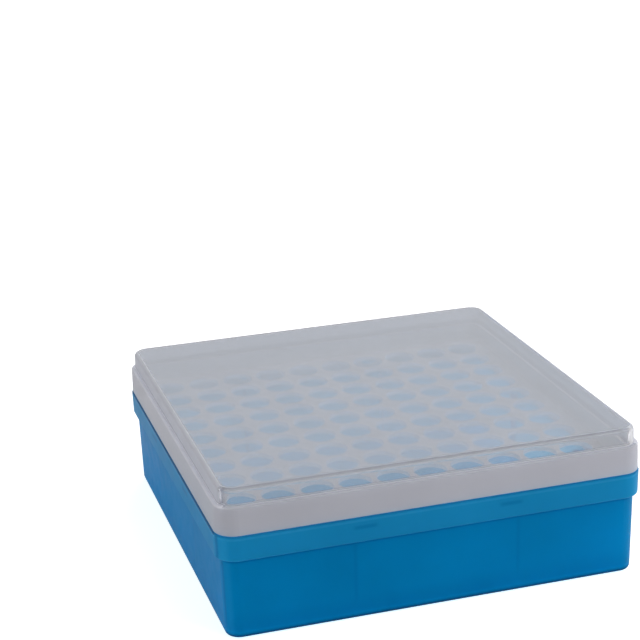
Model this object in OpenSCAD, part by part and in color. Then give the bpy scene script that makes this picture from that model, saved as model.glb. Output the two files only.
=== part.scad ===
// Storage box for small laboratory tubes: a base, a rack of wells that stands in it, and a lift-off lid.
// The origin is the middle of the underside, with +Z up. Widths named "half" run from the middle to a side.

/* [Wells] */
// Wells along each side of the rack
well_count = 10; // [4:1:12]
// Diameter of a well
well_d = 11; // [8:0.1:12]
// Distance between the centres of neighbouring wells
well_pitch = 12.75; // [12.5:0.05:16]
// Plate left between the outermost wells and the border
well_margin = 3.8; // [2:0.1:10]

/* [Rack] */
// Thickness of the plate that holds the wells
plate_t = 1.4; // [1.4:0.1:3]
// Height of the plate's top above the base's rim
plate_rise = 0.6; // [0:0.1:0.8]
// Depth of the skirt's top below the base's rim
skirt_drop = 0.2; // [0.1:0.05:0.3]
// Height of the border above the plate
border_h = 6.6; // [4:0.1:20]
// Thickness of the border above the plate and of the skirt below it
rack_wall = 1.2; // [0.8:0.1:2]
// Radius of the rack's rounded edges
rack_edge_r = 0.35; // [0.1:0.05:0.38]

/* [Base] */
// Height of the base, from its underside to its rim
base_h = 35.2; // [30:0.1:80]
// Height of the band that stands out below the rim
band_h = 8.4; // [7:0.1:16]
// How far the band stands out, which is also the width of the ledge inside it
band_step = 1.5; // [1:0.1:3]
// Thickness of the base's walls
base_wall = 1.6; // [1:0.1:2.5]
// Thickness of the base's floor
floor_t = 1.8; // [1:0.1:4]
// Radius of the band's upright corners
corner_r = 7; // [6.5:0.5:20]
// Radius of the edge round the underside
foot_r = 1.5; // [0.8:0.1:3.5]
// Radius of the band's lower edge
band_edge_r = 0.8; // [0.3:0.1:1.2]
// Radius of the rim's outer edge
rim_edge_r = 0.4; // [0.2:0.1:0.8]

/* [Ribs and beads] */
// Distance of each upright rib from the middle of its wall
rib_at = 27; // [10:1:45]
// Thickness of a rib
rib_t = 1.2; // [0.6:0.1:2]
// How far a rib stands in from the wall
rib_depth = 2; // [1:0.1:4]
// Distance of each bead from the middle of its wall
bead_at = 24; // [8:1:45]
// Length of a bead along the wall
bead_l = 7.4; // [4:0.1:14]
// Height of a bead
bead_h = 1; // [0.8:0.1:2]
// Depth of a bead's top below the underside of the rack's plate
bead_drop = 1.9; // [0.6:0.1:2.4]

/* [Lid] */
// Thickness of the lid's walls
lid_wall = 1.6; // [1:0.1:2.5]
// Thickness of the lid's top
lid_top_t = 1.6; // [1:0.1:2.5]
// Height of the lid above its shoulder
lid_rise = 5.8; // [3.5:0.1:40]
// Width of the shoulder between the lid's skirt and its upper wall
shoulder_w = 1.3; // [0.8:0.1:2.5]
// Radius of the edge round the lid's top
lid_edge_r = 1.6; // [0.6:0.1:2.2]
// Radius of the shoulder's edge
shoulder_edge_r = 0.6; // [0.2:0.1:0.8]
// How far the lid's skirt is set back from the rim
lid_inset = 0.3; // [0:0.1:1]

/* [Fits] */
// Lean of every upright wall, which lets a moulding leave its mould
draft = 1.25; // [0.25:0.25:1.5]
// Gap between the border and the lid round it
lid_gap = 0.6; // [0.3:0.1:1.5]
// Gap between the top of the border and the lid's shoulder
border_gap = 0.4; // [0.2:0.1:2]
// Gap between the rack's skirt and the band round it
rack_gap = 0.3; // [0.2:0.05:0.6]
// Gap left between a bead and the rack's skirt as the rack is lifted
bead_gap = 0.1; // [0.05:0.01:0.15]
// Room round a bead in its window
window_gap = 0.3; // [0.1:0.05:0.5]

/* [Hidden] */
$fn = 64;

// Half widths from the wells outwards, at the rim's height
grid_half = (well_count - 1) / 2 * well_pitch + well_d / 2;
border_half = grid_half + well_margin + rack_wall;
lid_inner_half = border_half + lid_gap;
lid_half = lid_inner_half + lid_wall;
rim_half = lid_half + lid_inset;
rim_inner_half = rim_half - base_wall;
body_half = rim_half - band_step;
body_inner_half = body_half - base_wall;
rack_half = rim_inner_half - rack_gap;

// Heights
step_z = base_h - band_h;
ledge_z = step_z + base_wall;
plate_z = base_h + plate_rise;
plate_under_z = plate_z - plate_t;
border_z = plate_z + border_h;
shoulder_z = border_z + border_gap + lid_wall;
lid_z = shoulder_z + lid_rise;
bead_z = plate_under_z - bead_drop - bead_h;

// The upright axes that every rounded corner turns about
axis_at = rim_half - corner_r;
// Radius inside the bottom edge, and inside the rack's and the lid's corners
inner_foot_r = max(foot_r - base_wall, 0.4);
inner_r = 0.5;
// Depth by which ribs and beads are rooted in their wall, and how far cuts run past a face
root = base_wall / 3;
past = 2;

// How far a wall leans over a height
function lean(height) = height * tan(draft);

// Distance of a wall from the corner axes at a depth below the rim, for walls that widen upwards
function side(half, depth) = half - axis_at - lean(depth);

// The half of a disc that faces away from the corner axis
module half_disc(radius) {
    intersection() {
        circle(radius);
        translate([0, -radius]) square(2 * radius);
    }
}

// Area between the corner axis and a wall that widens upwards, with both its edges rounded
module flank(foot, height, foot_edge, top_edge) {
    out = cos(draft);
    down = sin(draft);
    top_y = height - top_edge;
    foot_x = foot + lean(foot_edge) - foot_edge / out;
    top_x = foot + lean(top_y) - top_edge / out;
    polygon([
        [0, 0],
        [foot_x, 0],
        [foot_x, foot_edge],
        [foot_x + foot_edge * out, foot_edge * (1 - down)],
        [top_x + top_edge * out, top_y - top_edge * down],
        [top_x, top_y],
        [top_x, height],
        [0, height]
    ]);
    translate([foot_x, foot_edge]) half_disc(foot_edge);
    translate([top_x, top_y]) half_disc(top_edge);
}

// A profile carried round the four sides and corners, with a slab between the corner axes
module square_moulding(slab_z, slab_t) {
    translate([-axis_at, -axis_at, slab_z]) cube([2 * axis_at, 2 * axis_at, slab_t]);
    for (turn = [0:90:270]) {
        rotate(turn) translate([axis_at, axis_at, 0]) {
            rotate([90, 0, 0]) linear_extrude(2 * axis_at) children();
            rotate_extrude(angle = 90) children();
        }
    }
}

// Two copies on each of the four sides, a distance either way from its middle
module on_each_side(distance, length) {
    for (turn = [0:90:270], way = [-1, 1]) {
        rotate(turn) translate([axis_at, way * distance + length / 2, 0]) {
            rotate([90, 0, 0]) linear_extrude(length) children();
        }
    }
}

module body_cavity_profile(grown) {
    depth = base_h - floor_t;
    translate([0, floor_t - grown]) {
        flank(side(body_inner_half, depth) + grown, depth, inner_foot_r + grown, inner_r);
    }
}

module base_profile() {
    difference() {
        union() {
            flank(side(body_half, base_h), ledge_z, foot_r, inner_r);
            translate([0, step_z]) flank(side(rim_half, band_h), band_h, band_edge_r, rim_edge_r);
        }
        body_cavity_profile(0);
        translate([0, ledge_z]) {
            flank(side(rim_inner_half, base_h - ledge_z), base_h - ledge_z + past, inner_r, inner_r);
        }
    }
}

module rib_profile() {
    inner_face = side(body_inner_half, base_h - floor_t) - rib_depth;
    intersection() {
        body_cavity_profile(root);
        translate([inner_face, 0]) square([rib_depth + base_wall, step_z]);
    }
}

// A low ridge with sloping flanks, just clear of the rack's skirt
module bead_profile() {
    wall_x = side(rim_inner_half, base_h - bead_z);
    face_x = side(rack_half, base_h - bead_z - bead_h) + bead_gap;
    slope = wall_x - face_x;
    polygon([
        [wall_x + root, bead_z],
        [wall_x, bead_z],
        [face_x, bead_z + slope],
        [face_x, bead_z + bead_h - slope],
        [wall_x, bead_z + bead_h],
        [wall_x + root, bead_z + bead_h]
    ]);
}

// Open box with a band that stands out round its rim
module base() {
    color([0.0, 0.42, 0.67]) {
        square_moulding(0, floor_t) base_profile();
        on_each_side(rib_at, rib_t) rib_profile();
        on_each_side(bead_at, bead_l) bead_profile();
    }
}

module rack_profile() {
    skirt_h = base_h - skirt_drop - ledge_z;
    border_foot = border_half - axis_at;
    border_top = border_foot - lean(border_h);
    difference() {
        union() {
            translate([0, ledge_z]) {
                flank(side(rack_half, base_h - ledge_z), skirt_h, rack_edge_r, rack_edge_r);
            }
            translate([0, border_z]) mirror([0, 1]) {
                flank(border_top, border_h + plate_t, rack_edge_r, rack_edge_r);
            }
        }
        translate([0, ledge_z - past]) {
            flank(
                side(rack_half, base_h - ledge_z + past) - rack_wall,
                plate_under_z - ledge_z + past,
                inner_r,
                inner_r
            );
        }
        translate([0, border_z + past]) mirror([0, 1]) {
            flank(border_top - lean(past) - rack_wall, border_h + past, inner_r, inner_r);
        }
    }
}

module wells() {
    first = -(well_count - 1) / 2 * well_pitch;
    translate([0, 0, plate_under_z - past]) linear_extrude(plate_t + 2 * past) {
        for (column = [0:well_count - 1], row = [0:well_count - 1]) {
            translate([first + column * well_pitch, first + row * well_pitch]) circle(d = well_d);
        }
    }
}

// The openings in the rack's skirt that the beads face
module window_profile() {
    outer_face = side(rack_half, 0);
    translate([outer_face - 2 * rack_wall, bead_z - window_gap]) {
        square([3 * rack_wall, bead_h + 2 * window_gap]);
    }
}

// Tray whose plate holds the wells, on a skirt that stands on the base's ledge
module tube_rack() {
    color([0.93, 0.93, 0.92]) difference() {
        square_moulding(plate_under_z, plate_t) rack_profile();
        wells();
        on_each_side(bead_at, bead_l + 2 * window_gap) window_profile();
    }
}

// Outline of the lid, drawn upside down from its top
module lid_profile() {
    skirt_h = shoulder_z - base_h;
    skirt_foot = lid_half - axis_at - lean(skirt_h);
    upper_foot = skirt_foot - shoulder_w - lean(lid_rise);
    difference() {
        union() {
            flank(upper_foot, lid_rise + lid_wall, lid_edge_r, inner_r);
            translate([0, lid_rise]) flank(skirt_foot, skirt_h, shoulder_edge_r, rim_edge_r);
        }
        translate([0, lid_top_t]) {
            flank(
                upper_foot + lean(lid_top_t) - lid_wall,
                lid_rise + lid_wall - lid_top_t + past,
                inner_r,
                inner_r
            );
        }
        translate([0, lid_rise + lid_wall]) {
            flank(skirt_foot + lean(lid_wall) - lid_wall, skirt_h - lid_wall + past, inner_r, inner_r);
        }
    }
}

// Cap whose skirt goes over the border and stands on the rim
module lid() {
    color([0.82, 0.83, 0.86, 0.6]) translate([0, 0, lid_z]) mirror([0, 0, 1]) {
        square_moulding(0, lid_top_t) lid_profile();
    }
}

base();
tube_rack();
lid();
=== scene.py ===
"""Looks, light and camera for the tube storage box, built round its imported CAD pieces."""
import math

import bpy
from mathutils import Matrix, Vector


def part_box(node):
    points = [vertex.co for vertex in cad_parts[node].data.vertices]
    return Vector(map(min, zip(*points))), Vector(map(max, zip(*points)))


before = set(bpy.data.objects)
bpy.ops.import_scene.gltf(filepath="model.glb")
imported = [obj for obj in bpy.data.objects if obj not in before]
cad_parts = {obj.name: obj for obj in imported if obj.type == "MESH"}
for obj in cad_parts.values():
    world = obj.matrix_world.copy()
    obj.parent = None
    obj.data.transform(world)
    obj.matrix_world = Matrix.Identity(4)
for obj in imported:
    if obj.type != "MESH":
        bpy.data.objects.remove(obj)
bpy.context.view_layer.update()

MM = 0.001

# Height of the base's band, and of the lid above its shoulder
BAND_H = 8.4 * MM
LID_RISE = 5.8 * MM
# Distance of the ribs and of the windows from the middle of each wall
RIB_AT = 27 * MM
WINDOW_AT = 24 * MM
# Half length of the mark that a window makes on the wall, and the depth of its middle below the rim
WINDOW_HALF = 3.7 * MM
WINDOW_DROP = 3.2 * MM
# Half width of a square that just holds all the wells
WELLS_HALF = 63.5 * MM

# Heights of the rim, the step under its band, the windows behind the band and the lid's shoulder
RIM_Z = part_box("base")[1][2]
STEP_Z = RIM_Z - BAND_H
WINDOW_Z = RIM_Z - WINDOW_DROP
SHOULDER_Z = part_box("lid")[1][2] - LID_RISE

# A noise lies mostly between these two values
NOISE_RANGE = (0.3, 0.7)
PLASTIC_IOR = 1.49

# The darker and the lighter tone that each colour drifts between
# Besides the wall's own blue, these tones are painted light and shade on and inside the base
BLUE_TONES = {
    "wall": ((0.0, 0.298, 0.535), (0.0, 0.323, 0.575)),
    "band": ((0.018, 0.36, 0.59), (0.022, 0.39, 0.63)),
    "painted_highlight": ((0.04, 0.42, 0.66), (0.045, 0.45, 0.7)),
    "painted_shade": ((0.0, 0.2, 0.42), (0.0, 0.22, 0.44)),
    "rim": ((0.02, 0.2, 0.42), (0.025, 0.22, 0.44)),
    "side_rim_shade": ((0.0, 0.09, 0.22), (0.0, 0.1, 0.24)),
    "foot_shadow": ((0.0, 0.03, 0.09), (0.0, 0.035, 0.1)),
    "inside": ((0.09, 0.55, 0.73), (0.1, 0.58, 0.77)),
}
# The lighter tone is painted light on the walls of the wells
WHITE_TONES = {
    "plain": ((0.7, 0.7, 0.71), (0.74, 0.74, 0.74)),
    "well": ((0.93, 0.94, 0.95), (0.95, 0.95, 0.95)),
}
# Some of these tones are painted shade and light on the lid's sides and shoulder, and a painted blue glow
FROSTED_TONES = {
    "panel": ((0.51, 0.535, 0.585), (0.53, 0.555, 0.605)),
    "wall": ((0.68, 0.68, 0.7), (0.71, 0.71, 0.73)),
    "shaded_side_wall": ((0.48, 0.49, 0.55), (0.51, 0.52, 0.58)),
    "inner_wall": ((0.78, 0.79, 0.82), (0.81, 0.82, 0.85)),
    "side_brim_shade": ((0.43, 0.44, 0.49), (0.46, 0.47, 0.52)),
    "skirt": ((0.535, 0.535, 0.585), (0.565, 0.565, 0.615)),
    "shoulder": ((0.46, 0.46, 0.5), (0.49, 0.49, 0.53)),
    "lit_side_shoulder": ((0.68, 0.68, 0.73), (0.71, 0.71, 0.76)),
    "blue_edge_glow": ((0.41, 0.57, 0.71), (0.43, 0.6, 0.74)),
    "side_blue_edge_glow": ((0.3, 0.53, 0.77), (0.32, 0.56, 0.8)),
}
PAPER_TONES = {"paper": ((0.8, 0.8, 0.8), (0.82, 0.82, 0.82))}

# The camera fitted to the photograph, in metres and degrees
CAMERA_LENS = 96.0
CAMERA_PLACE = (-0.167451, -0.52249, 0.255879)
CAMERA_ANGLES = (71.6681, 1.9203, -16.8207)


def add_node(tree, kind, inputs=None, **settings):
    """A node with its settings, and each input set to a value or linked to an output."""
    node = tree.nodes.new(kind)
    for name, value in settings.items():
        setattr(node, name, value)
    for name, value in (inputs or {}).items():
        if isinstance(value, bpy.types.NodeSocket):
            tree.links.new(value, node.inputs[name])
        else:
            node.inputs[name].default_value = value
    return node


def new_material(name):
    """A material, its emptied tree and its texture coordinates."""
    material = bpy.data.materials.new(name)
    material.use_nodes = True
    tree = material.node_tree
    tree.nodes.clear()
    return material, tree, add_node(tree, "ShaderNodeTexCoord").outputs


def axis(tree, vector, name):
    """One coordinate of a vector."""
    return add_node(tree, "ShaderNodeSeparateXYZ", {"Vector": vector}).outputs[name]


def maths(tree, operation, first, second=0.0):
    """What Blender's Math node makes of one or two values."""
    return add_node(tree, "ShaderNodeMath", {0: first, 1: second}, operation=operation).outputs[0]


def product(tree, first, second):
    """One value times another."""
    return maths(tree, "MULTIPLY", first, second)


def largest(tree, first, second):
    """The larger of two values."""
    return maths(tree, "MAXIMUM", first, second)


def opposite(tree, share):
    """1 where a share is 0, and 0 where it is 1."""
    return maths(tree, "SUBTRACT", 1.0, share)


def strongest(tree, *weighted):
    """The largest of several shares, each times its weight."""
    found = 0.0
    for share, weight in weighted:
        found = largest(tree, found, product(tree, share, weight))
    return found


def spread(tree, value, start, end, low, high):
    """A value between start and end, spread smoothly from low to high."""
    inputs = {"Value": value, "From Min": start, "From Max": end, "To Min": low, "To Max": high}
    made = add_node(tree, "ShaderNodeMapRange", inputs, interpolation_type="SMOOTHSTEP")
    return made.outputs["Result"]


def rise(tree, value, start, end):
    """0 up to the start, 1 from the end on, and smooth between them."""
    return spread(tree, value, start, end, 0.0, 1.0)


def fall(tree, value, start, end):
    """1 up to the start, 0 from the end on, and smooth between them."""
    return spread(tree, value, start, end, 1.0, 0.0)


def stripe(tree, value, middle, half, blur):
    """1 within half a width of the middle, fading to 0 over a blur."""
    off = maths(tree, "ABSOLUTE", maths(tree, "SUBTRACT", value, middle))
    return fall(tree, off, half - blur / 2, half + blur / 2)


def noise(tree, at, size):
    """Noise whose grains are about a size across, in metres."""
    inputs = {"Vector": at["Object"], "Scale": 1 / size, "Detail": 2.0}
    return add_node(tree, "ShaderNodeTexNoise", inputs).outputs["Fac"]


def patchy(tree, at, low, high):
    """A roughness that varies a little from place to place."""
    return spread(tree, noise(tree, at, 5 * MM), *NOISE_RANGE, low, high)


def moulded_skin(tree, at, size):
    """A normal for the slight unevenness of a moulding, whose waves are about a size across."""
    inputs = {"Height": noise(tree, at, size), "Distance": 0.02 * MM, "Strength": 0.3}
    return add_node(tree, "ShaderNodeBump", inputs).outputs["Normal"]


def cloudy_tones(tree, at, size, tones):
    """Each named colour, drifting between its two tones in clouds about a size across."""
    clouds = noise(tree, at, size)
    colours = {}
    for name, pair in tones.items():
        made = add_node(tree, "ShaderNodeValToRGB", {"Fac": clouds})
        for element, place, tone in zip(made.color_ramp.elements, NOISE_RANGE, pair):
            element.position = place
            element.color = (*tone, 1.0)
        colours[name] = made.outputs["Color"]
    return colours


def mix_colour(tree, share, first, second):
    """The first colour at a share of 0 and the second at 1."""
    made = add_node(tree, "ShaderNodeMix", data_type="RGBA")
    tree.links.new(share, made.inputs["Factor"])
    # The colour sockets share their names with those for numbers, so they go by their places
    tree.links.new(first, made.inputs[6])
    tree.links.new(second, made.inputs[7])
    return made.outputs[2]


def layered(tree, colour, *layers):
    """A colour with others laid over it in turn, each by its share."""
    for share, over in layers:
        colour = mix_colour(tree, share, colour, over)
    return colour


def mix_shaders(tree, share, first, second):
    """The first shader at a share of 0 and the second at 1."""
    made = add_node(tree, "ShaderNodeMixShader", {"Fac": share})
    tree.links.new(first.outputs[0], made.inputs[1])
    tree.links.new(second.outputs[0], made.inputs[2])
    return made


def finish_material(tree, shader, lets_through=None):
    """Links the shader to the output. Lamps shine through by the colour given for each face."""
    if lets_through:
        clear = add_node(tree, "ShaderNodeBsdfTransparent", {"Color": (*lets_through, 1.0)})
        is_lamp = add_node(tree, "ShaderNodeLightPath").outputs["Is Shadow Ray"]
        shader = mix_shaders(tree, is_lamp, shader, clear)
    output = add_node(tree, "ShaderNodeOutputMaterial")
    tree.links.new(shader.outputs[0], output.inputs["Surface"])


def off_middle(tree, vector):
    """How far a vector goes across and along, whichever way."""
    return [maths(tree, "ABSOLUTE", axis(tree, vector, name)) for name in "XY"]


def flatness(tree, at):
    """1 on faces that lie flat, and 0 on upright ones."""
    return maths(tree, "ABSOLUTE", axis(tree, at["Normal"], "Z"))


def facing_out(tree, at):
    """1 on faces that look away from the upright axis, 0 on those that look to it, half on flat ones."""
    flat = (1.0, 1.0, 0.0)
    level = add_node(tree, "ShaderNodeVectorMath", {0: at["Normal"], 1: flat}, operation="MULTIPLY")
    dot = {0: level.outputs["Vector"], 1: at["Object"]}
    across = add_node(tree, "ShaderNodeVectorMath", dot, operation="DOT_PRODUCT").outputs["Value"]
    return rise(tree, across, -10 * MM, 10 * MM)


def facing_in(tree, at):
    """1 on faces that look into the box or up, 0 on those that look out, half on the rim and underside."""
    towards = opposite(tree, facing_out(tree, at))
    up = rise(tree, axis(tree, at["Normal"], "Z"), 0.3, 0.8)
    below_rim = fall(tree, axis(tree, at["Object"], "Z"), RIM_Z - 2 * MM, RIM_Z - 1 * MM)
    return largest(tree, towards, product(tree, up, below_rim))


def on_both_ways(tree, at, middle, half, blur):
    """Stripes up the walls at a distance either way from their middles."""
    across, along = off_middle(tree, at["Object"])
    return largest(tree, stripe(tree, across, middle, half, blur), stripe(tree, along, middle, half, blur))


def corner_turn(tree, at):
    """0 on the front and back walls, 1 on the side walls, and between them round the corners."""
    across, along = off_middle(tree, at["Normal"])
    never_zero = 0.001
    both = maths(tree, "ADD", maths(tree, "ADD", across, along), never_zero)
    return maths(tree, "DIVIDE", across, both)


def base_colour(tree, at):
    """The blue of the base, with painted light and shade on its edges, inside and behind its walls."""
    tone = cloudy_tones(tree, at, 22 * MM, BLUE_TONES)
    height = axis(tree, at["Object"], "Z")
    turn = corner_turn(tree, at)
    # Painted light: the band is lighter where the white rack stands behind it
    band = rise(tree, height, STEP_Z - 0.5 * MM, STEP_Z + 0.3 * MM)

    # Painted highlights: pale lines below the rim and up the corners
    rim_highlight = stripe(tree, height, RIM_Z - 1 * MM, half=0.3 * MM, blur=0.5 * MM)
    corner_highlight = stripe(tree, turn, 0.48, half=0.08, blur=0.12)
    corner_highlight = product(tree, corner_highlight, spread(tree, height, STEP_Z - 0.5 * MM, STEP_Z, 0.15, 0.5))

    # Painted shade: deeper blue under the step, towards the foot, by the corners, over ribs and windows
    step_shadow = stripe(tree, height, STEP_Z - 0.5 * MM, half=0.5 * MM, blur=0.8 * MM)
    foot_shade = spread(tree, height, 0.0, 10 * MM, 0.5, 0.0)
    corner_shade = stripe(tree, turn, 0.72, half=0.06, blur=0.08)
    below_band = fall(tree, height, STEP_Z - 1.2 * MM, STEP_Z - 0.7 * MM)
    rib_shade = product(tree, on_both_ways(tree, at, RIB_AT, half=0.5 * MM, blur=1.2 * MM), below_band)
    window_height = stripe(tree, height, WINDOW_Z, half=0.6 * MM, blur=1 * MM)
    window_shade = product(tree, on_both_ways(tree, at, WINDOW_AT, WINDOW_HALF, blur=2 * MM), window_height)
    painted_shade = strongest(tree, (step_shadow, 1.0), (foot_shade, 1.0), (rib_shade, 0.3), (window_shade, 0.5), (corner_shade, 0.7))

    # Painted shadow: dark lines along the rim and round the foot, but not on the flat underside
    rim = spread(tree, height, RIM_Z - 0.5 * MM, RIM_Z - 0.2 * MM, 0.0, 0.8)
    # Painted shade: the line along the rim is darker on the side walls
    side_rim_shade = spread(tree, height, RIM_Z - 0.8 * MM, RIM_Z - 0.5 * MM, 0.0, 0.8)
    side_rim_shade = product(tree, side_rim_shade, rise(tree, turn, 0.75, 0.9))
    not_flat = fall(tree, flatness(tree, at), 0.9, 0.99)
    foot_shadow = product(tree, fall(tree, height, 0.4 * MM, 2.4 * MM), not_flat)

    return layered(
        tree,
        tone["wall"],
        (band, tone["band"]),
        (largest(tree, rim_highlight, corner_highlight), tone["painted_highlight"]),
        (painted_shade, tone["painted_shade"]),
        (rim, tone["rim"]),
        (side_rim_shade, tone["side_rim_shade"]),
        (foot_shadow, tone["foot_shadow"]),
        # Painted glow: faces that look into the box or up are lighter, as if lit through the walls
        (facing_in(tree, at), tone["inside"]),
    )


def blue_polypropylene():
    """Dyed translucent plastic."""
    material, tree, at = new_material("blue_polypropylene_look")
    colour = base_colour(tree, at)
    inputs = {
        "Base Color": colour,
        "Roughness": patchy(tree, at, 0.3, 0.36),
        "IOR": PLASTIC_IOR,
        "Transmission Weight": 0.3,
        "Specular IOR Level": 0.25,
        "Specular Tint": (0.0, 0.4, 0.8, 1.0),
        "Normal": moulded_skin(tree, at, 0.8 * MM),
    }
    face = add_node(tree, "ShaderNodeBsdfPrincipled", inputs)
    glow = add_node(tree, "ShaderNodeBsdfTranslucent", {"Color": colour})
    glow_share = 0.45
    finish_material(tree, mix_shaders(tree, glow_share, face, glow), lets_through=(0.45, 0.88, 0.97))
    return material


def white_polypropylene():
    """White plastic, painted lighter on the walls of the wells, as light that comes through them."""
    material, tree, at = new_material("white_polypropylene_look")
    tone = cloudy_tones(tree, at, 20 * MM, WHITE_TONES)
    # Painted light: upright faces among the wells, the walls of the bores, take the lighter tone
    upright = fall(tree, flatness(tree, at), 0.3, 0.6)
    among_wells = largest(tree, *off_middle(tree, at["Object"]))
    among_wells = fall(tree, among_wells, WELLS_HALF, WELLS_HALF + 0.5 * MM)
    inputs = {
        "Base Color": mix_colour(tree, product(tree, upright, among_wells), tone["plain"], tone["well"]),
        "Roughness": patchy(tree, at, 0.42, 0.5),
        "Normal": moulded_skin(tree, at, 0.8 * MM),
    }
    shader = add_node(tree, "ShaderNodeBsdfPrincipled", inputs)
    finish_material(tree, shader, lets_through=(0.6, 0.6, 0.6))
    return material


def lid_zones(tree, at):
    """Shares that tell the lid's top, sides, skirt and the sill above its shoulder apart."""
    height = axis(tree, at["Object"], "Z")
    across, along = off_middle(tree, at["Object"])
    side = rise(tree, maths(tree, "SUBTRACT", across, along), -1 * MM, 1 * MM)
    skirt = fall(tree, height, SHOULDER_Z - 0.1 * MM, SHOULDER_Z + 0.05 * MM)
    side_skirt = fall(tree, height, SHOULDER_Z + 0.2 * MM, SHOULDER_Z + 0.8 * MM)
    skirt = largest(tree, skirt, product(tree, side, side_skirt))
    sill = fall(tree, height, SHOULDER_Z + 0.1 * MM, SHOULDER_Z + 0.6 * MM)
    return {
        "top": rise(tree, flatness(tree, at), 0.6, 0.95),
        "side": side,
        "skirt": skirt,
        "sill": product(tree, sill, opposite(tree, skirt)),
    }


def lid_colour(tree, at, zone):
    """The lid's greys with painted shade and light, and a painted blue glow at its lower edge near the rim.
    """
    tone = cloudy_tones(tree, at, 25 * MM, FROSTED_TONES)
    height = axis(tree, at["Object"], "Z")
    flat = flatness(tree, at)
    side = zone["side"]

    # The upper part: its walls, its top, and the rounded edge between them, with painted shade on the sides
    wall = mix_colour(tree, side, tone["wall"], tone["shaded_side_wall"])
    wall = mix_colour(tree, facing_out(tree, at), tone["inner_wall"], wall)
    rounded = product(tree, rise(tree, flat, 0.1, 0.5), fall(tree, flat, 0.9, 0.99))
    side_brim_shade = product(tree, rounded, side)
    upper = layered(tree, wall, (zone["top"], tone["panel"]), (side_brim_shade, tone["side_brim_shade"]))

    # The skirt, from its shoulder, with painted shade and light, down to the edge near the blue rim
    # Painted shade on the shoulder in front, and painted light on it at the sides
    shoulder = mix_colour(tree, side, tone["shoulder"], tone["lit_side_shoulder"])
    above_shoulder = rise(tree, height, SHOULDER_Z - 0.1 * MM, SHOULDER_Z + 0.1 * MM)
    # Painted blue glow: the lower edge takes blue where ambient occlusion finds the rim close below it
    occlusion = add_node(tree, "ShaderNodeAmbientOcclusion", {"Distance": 1.5 * MM}, samples=8)
    rim_is_near = fall(tree, occlusion.outputs["AO"], 0.7, 0.95)
    lower_edge = fall(tree, height, RIM_Z + 0.3 * MM, RIM_Z + 1.3 * MM)
    blue_edge_glow = mix_colour(tree, side, tone["blue_edge_glow"], tone["side_blue_edge_glow"])
    lower = layered(
        tree,
        tone["skirt"],
        (rise(tree, flat, 0.1, 0.6), shoulder),
        # Painted light on the side walls just above the shoulder
        (product(tree, side, above_shoulder), tone["lit_side_shoulder"]),
        (product(tree, lower_edge, rim_is_near), blue_edge_glow),
    )
    return mix_colour(tree, zone["skirt"], upper, lower)


def lid_haze(tree, at, zone):
    """Roughness and transmission: walls cloud over when seen aslant or through another sheet."""
    not_top = fall(tree, flatness(tree, at), 0.97, 0.999)
    facing = add_node(tree, "ShaderNodeLayerWeight", {"Blend": 0.5}).outputs["Facing"]
    aslant = product(tree, rise(tree, facing, 0.3, 0.5), not_top)
    aslant = product(tree, aslant, opposite(tree, zone["skirt"]))
    crossed = add_node(tree, "ShaderNodeLightPath").outputs["Transmission Depth"]
    far = product(tree, rise(tree, crossed, 1.2, 1.8), not_top)

    polish = spread(tree, zone["top"], 0.0, 1.0, 0.06, 0.045)
    hazes = ((aslant, 0.4), (far, 0.4), (zone["skirt"], 0.35), (zone["sill"], 0.3))
    roughness = strongest(tree, (polish, 1.0), *hazes)
    roughness = maths(tree, "ADD", patchy(tree, at, 0.0, 0.002), roughness)
    clear = spread(tree, zone["top"], 0.0, 1.0, 0.76, 0.7)
    cloudy = strongest(tree, (zone["skirt"], 0.35), (aslant, 0.6), (far, 0.5), (zone["sill"], 0.5))
    transmission = maths(tree, "SUBTRACT", clear, cloudy)
    return roughness, transmission


def frosted_polypropylene():
    """Undyed plastic: a hazy top, clearer walls below it and a milky skirt."""
    material, tree, at = new_material("frosted_polypropylene_look")
    zone = lid_zones(tree, at)
    roughness, transmission = lid_haze(tree, at, zone)
    inputs = {
        "Base Color": lid_colour(tree, at, zone),
        "Normal": moulded_skin(tree, at, 15 * MM),
        "Roughness": roughness,
        "IOR": PLASTIC_IOR,
        "Specular IOR Level": 0.75,
        "Transmission Weight": transmission,
    }
    shader = add_node(tree, "ShaderNodeBsdfPrincipled", inputs)
    finish_material(tree, shader, lets_through=(0.85, 0.85, 0.87))
    return material


def shown_rays(tree):
    """1 for rays that show the surroundings: to the camera, or through clear plastic."""
    path = add_node(tree, "ShaderNodeLightPath").outputs
    return largest(tree, path["Is Camera Ray"], path["Is Transmission Ray"])


def pale_floor():
    """A matt sheet that looks white and keeps the shadow."""
    material, tree, at = new_material("pale_floor")
    paper = cloudy_tones(tree, at, 60 * MM, PAPER_TONES)["paper"]
    matt = add_node(tree, "ShaderNodeBsdfDiffuse", {"Color": paper})
    # The glow that lifts it to white is weaker near the box, where the shadow lies
    distance = add_node(tree, "ShaderNodeVectorMath", {0: at["Object"]}, operation="LENGTH").outputs["Value"]
    glow = add_node(tree, "ShaderNodeEmission", {"Strength": spread(tree, distance, 0.1, 0.9, 0.66, 0.8)})
    lifted = add_node(tree, "ShaderNodeAddShader")
    tree.links.new(matt.outputs[0], lifted.inputs[0])
    tree.links.new(glow.outputs[0], lifted.inputs[1])
    finish_material(tree, mix_shaders(tree, shown_rays(tree), matt, lifted))
    just_below_box = (0, 0, -0.2 * MM)
    bpy.ops.mesh.primitive_plane_add(size=8, location=just_below_box)
    floor = bpy.context.object
    floor.name = "floor"
    floor.data.materials.append(material)


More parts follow.
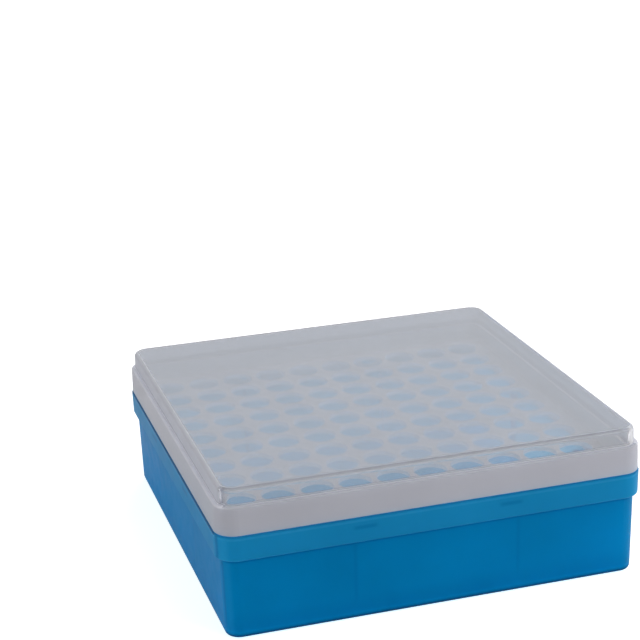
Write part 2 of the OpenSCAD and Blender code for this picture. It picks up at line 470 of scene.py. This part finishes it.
def soft_room():
    """Even light from all round, seen as white."""
    world = bpy.data.worlds.new("soft_room")
    world.use_nodes = True
    tree = world.node_tree
    tree.nodes.clear()
    light = add_node(tree, "ShaderNodeBackground", {"Color": (0.97, 0.98, 1.0, 1.0), "Strength": 0.4})
    white = add_node(tree, "ShaderNodeBackground", {"Color": (1.0, 1.0, 1.0, 1.0), "Strength": 1.0})
    mirrored = add_node(tree, "ShaderNodeLightPath").outputs["Is Glossy Ray"]
    mixed = mix_shaders(tree, largest(tree, shown_rays(tree), mirrored), light, white)
    output = add_node(tree, "ShaderNodeOutputWorld")
    tree.links.new(mixed.outputs[0], output.inputs["Surface"])
    bpy.context.scene.world = world


def softbox(name, place, size, power):
    """A square area lamp that faces the box, and that its plastic doesn't mirror."""
    data = bpy.data.lights.new(name, "AREA")
    data.size = size
    data.energy = power
    lamp = bpy.data.objects.new(name, data)
    lamp.location = place
    lamp.rotation_euler = (-Vector(place)).to_track_quat("-Z", "Y").to_euler()
    lamp.visible_glossy = False
    lamp.visible_transmission = False
    bpy.context.scene.collection.objects.link(lamp)


def photo_camera():
    """The camera that sees the box as the photograph does."""
    camera = bpy.data.objects.new("camera", bpy.data.cameras.new("camera"))
    camera.data.lens = CAMERA_LENS
    camera.data.clip_start = 0.01
    camera.data.clip_end = 20
    camera.location = CAMERA_PLACE
    camera.rotation_euler = [math.radians(angle) for angle in CAMERA_ANGLES]
    bpy.context.scene.collection.objects.link(camera)
    bpy.context.scene.camera = camera


looks = {"base": blue_polypropylene(), "tube_rack": white_polypropylene(), "lid": frosted_polypropylene()}
for node, material in looks.items():
    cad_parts[node].data.materials.clear()
    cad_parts[node].data.materials.append(material)

pale_floor()
soft_room()
softbox("key", place=(0.5, -0.45, 0.9), size=0.7, power=5.75)
softbox("back", place=(0.45, 0.7, 0.45), size=0.6, power=2.5)
softbox("fill", place=(-0.8, -0.1, 0.45), size=0.6, power=1.85)
softbox("side", place=(0.26, -0.24, 0.12), size=0.15, power=0.13)
softbox("glow", place=(0.32, 0.02, 0.05), size=0.08, power=0.12)
photo_camera()
bpy.context.scene.view_settings.view_transform = "Standard"
